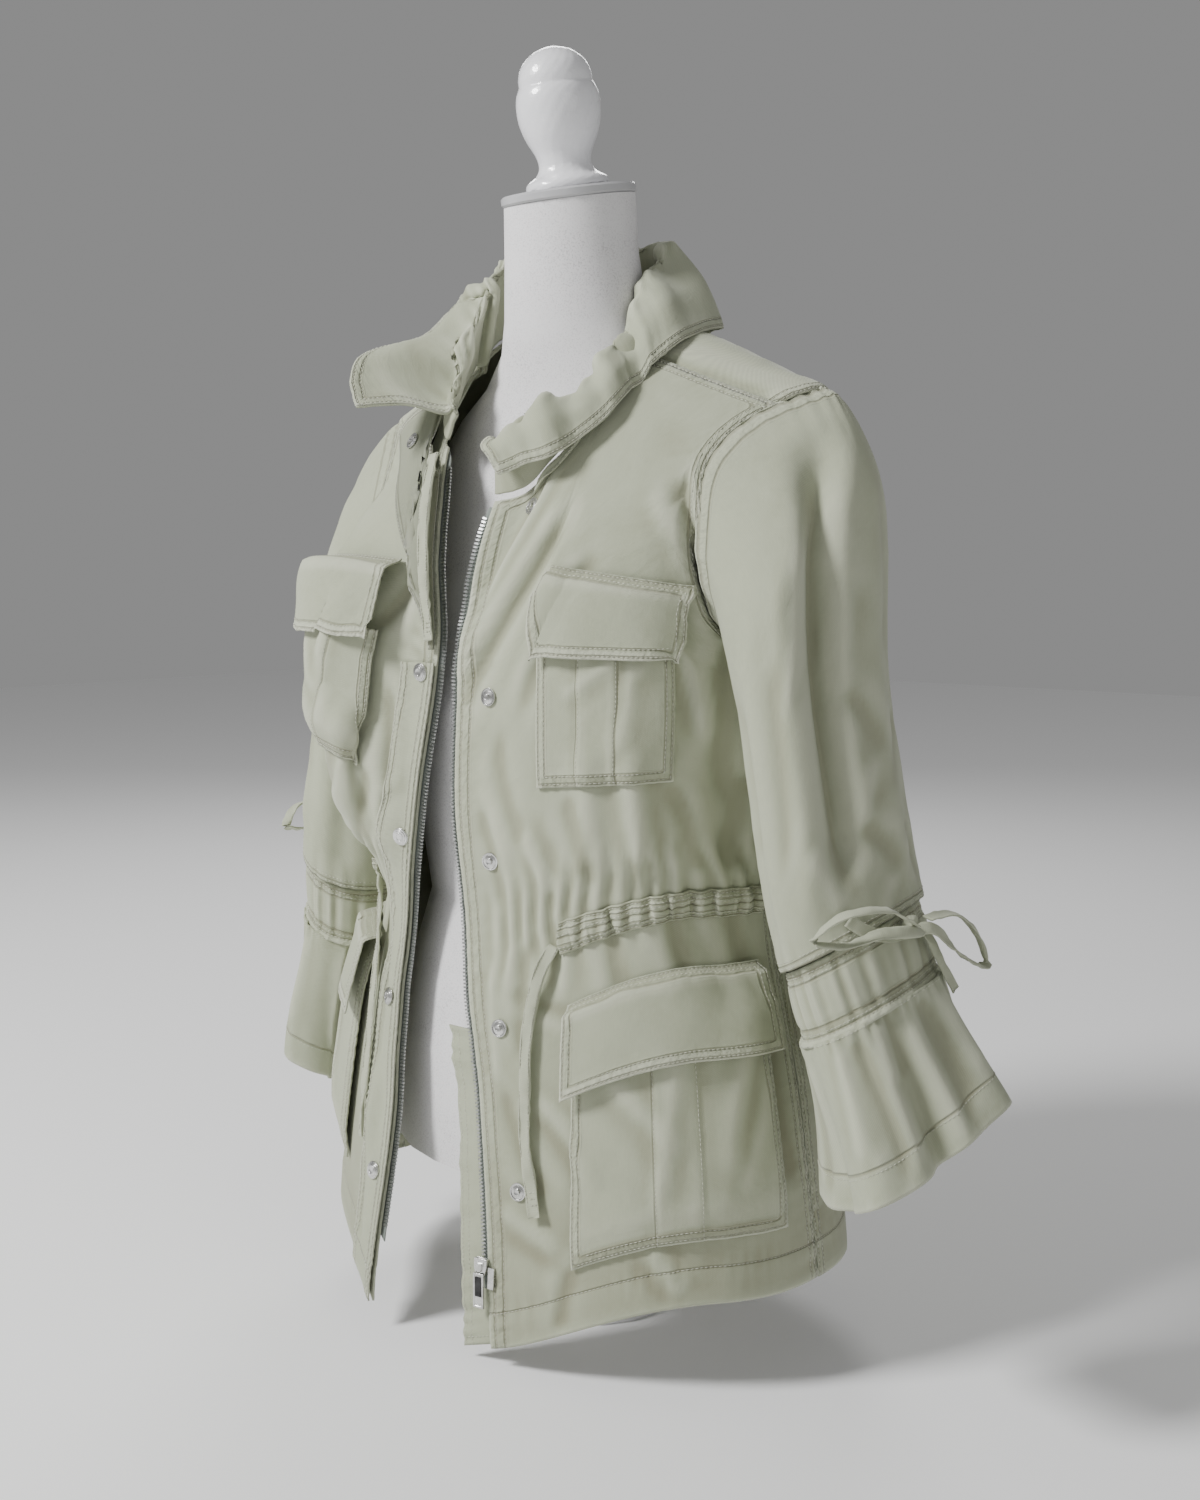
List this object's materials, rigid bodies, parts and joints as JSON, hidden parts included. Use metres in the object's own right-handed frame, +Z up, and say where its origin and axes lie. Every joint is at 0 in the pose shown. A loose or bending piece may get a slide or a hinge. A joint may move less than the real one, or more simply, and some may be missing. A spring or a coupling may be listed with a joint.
{
  "type": "utility jacket on a dress form",
  "caption": "Open-front twill utility jacket with flap pockets, drawcord waist and flared tie cuffs, on a limbless dress form with a turned finial.",
  "frame": {"origin": "centre of the stand base's flat underside", "axes": "+Z up, -Y towards the front of the jacket, +X towards the wearer's left"},
  "size_m": [0.6479, 0.2995, 0.913],
  "materials": {
    "twill": "washed sage cotton twill, matt",
    "tape": "woven zip tape, grey-green",
    "metal": "satin nickel",
    "form_cloth": "white speckled jersey stretched over a hard form",
    "form_gloss": "white gloss lacquer",
    "stand": "white satin paint"
  },
  "bodies": {
    "jacket_on_form": {"back": "twill", "bow_end_long_left": "twill", "bow_end_long_right": "twill", "bow_end_short_left": "twill", "bow_end_short_right": "twill", "bow_knot_left": "twill", "bow_knot_right": "twill", "bow_loop_back_left": "twill", "bow_loop_back_right": "twill", "bow_loop_front_left": "twill", "bow_loop_front_right": "twill", "chest_flap_left": "twill", "chest_flap_right": "twill", "chest_pocket_left": "twill", "chest_pocket_right": "twill", "collar": "twill", "collar_tab_left": "twill", "collar_tie_right": "twill", "cuff_casing_left": "twill", "cuff_casing_right": "twill", "cuff_left": "twill", "cuff_right": "twill", "form_finial": "form_gloss", "form_neck_plate": "form_gloss", "form_torso": "form_cloth", "front_left": "twill", "front_right": "twill", "hip_flap_left": "twill", "hip_flap_right": "twill", "hip_pocket_left": "twill", "hip_pocket_right": "twill", "placket_corner_right": "twill", "placket_right": "twill", "sleeve_left": "twill", "sleeve_right": "twill", "snap_cap_1": "metal", "snap_cap_2": "metal", "snap_cap_3": "metal", "snap_cap_4": "metal", "snap_socket": "metal", "snap_stud_1": "metal", "snap_stud_2": "metal", "snap_stud_3": "metal", "snap_stud_4": "metal", "snap_stud_5": "metal", "stand_base": "stand", "stand_pole": "stand", "waist_casing_back": "twill", "waist_casing_left": "twill", "waist_casing_right": "twill", "waist_tie_left": "twill", "waist_tie_right": "twill", "yoke": "twill", "zip_guard_left": "twill", "zip_slider": "metal", "zip_tape_left": "tape", "zip_tape_right": "tape"},
    "pull": {"zip_pull": "metal"}
  },
  "joints": [
    {"name": "zip_pull_swing", "type": "hinge", "parent": "jacket_on_form", "child": "pull", "pos_m": [0.02596, -0.15026, 0.066], "axis": [-0.9908, -0.1355, 0], "range_deg": [0, 120]}
  ]
}
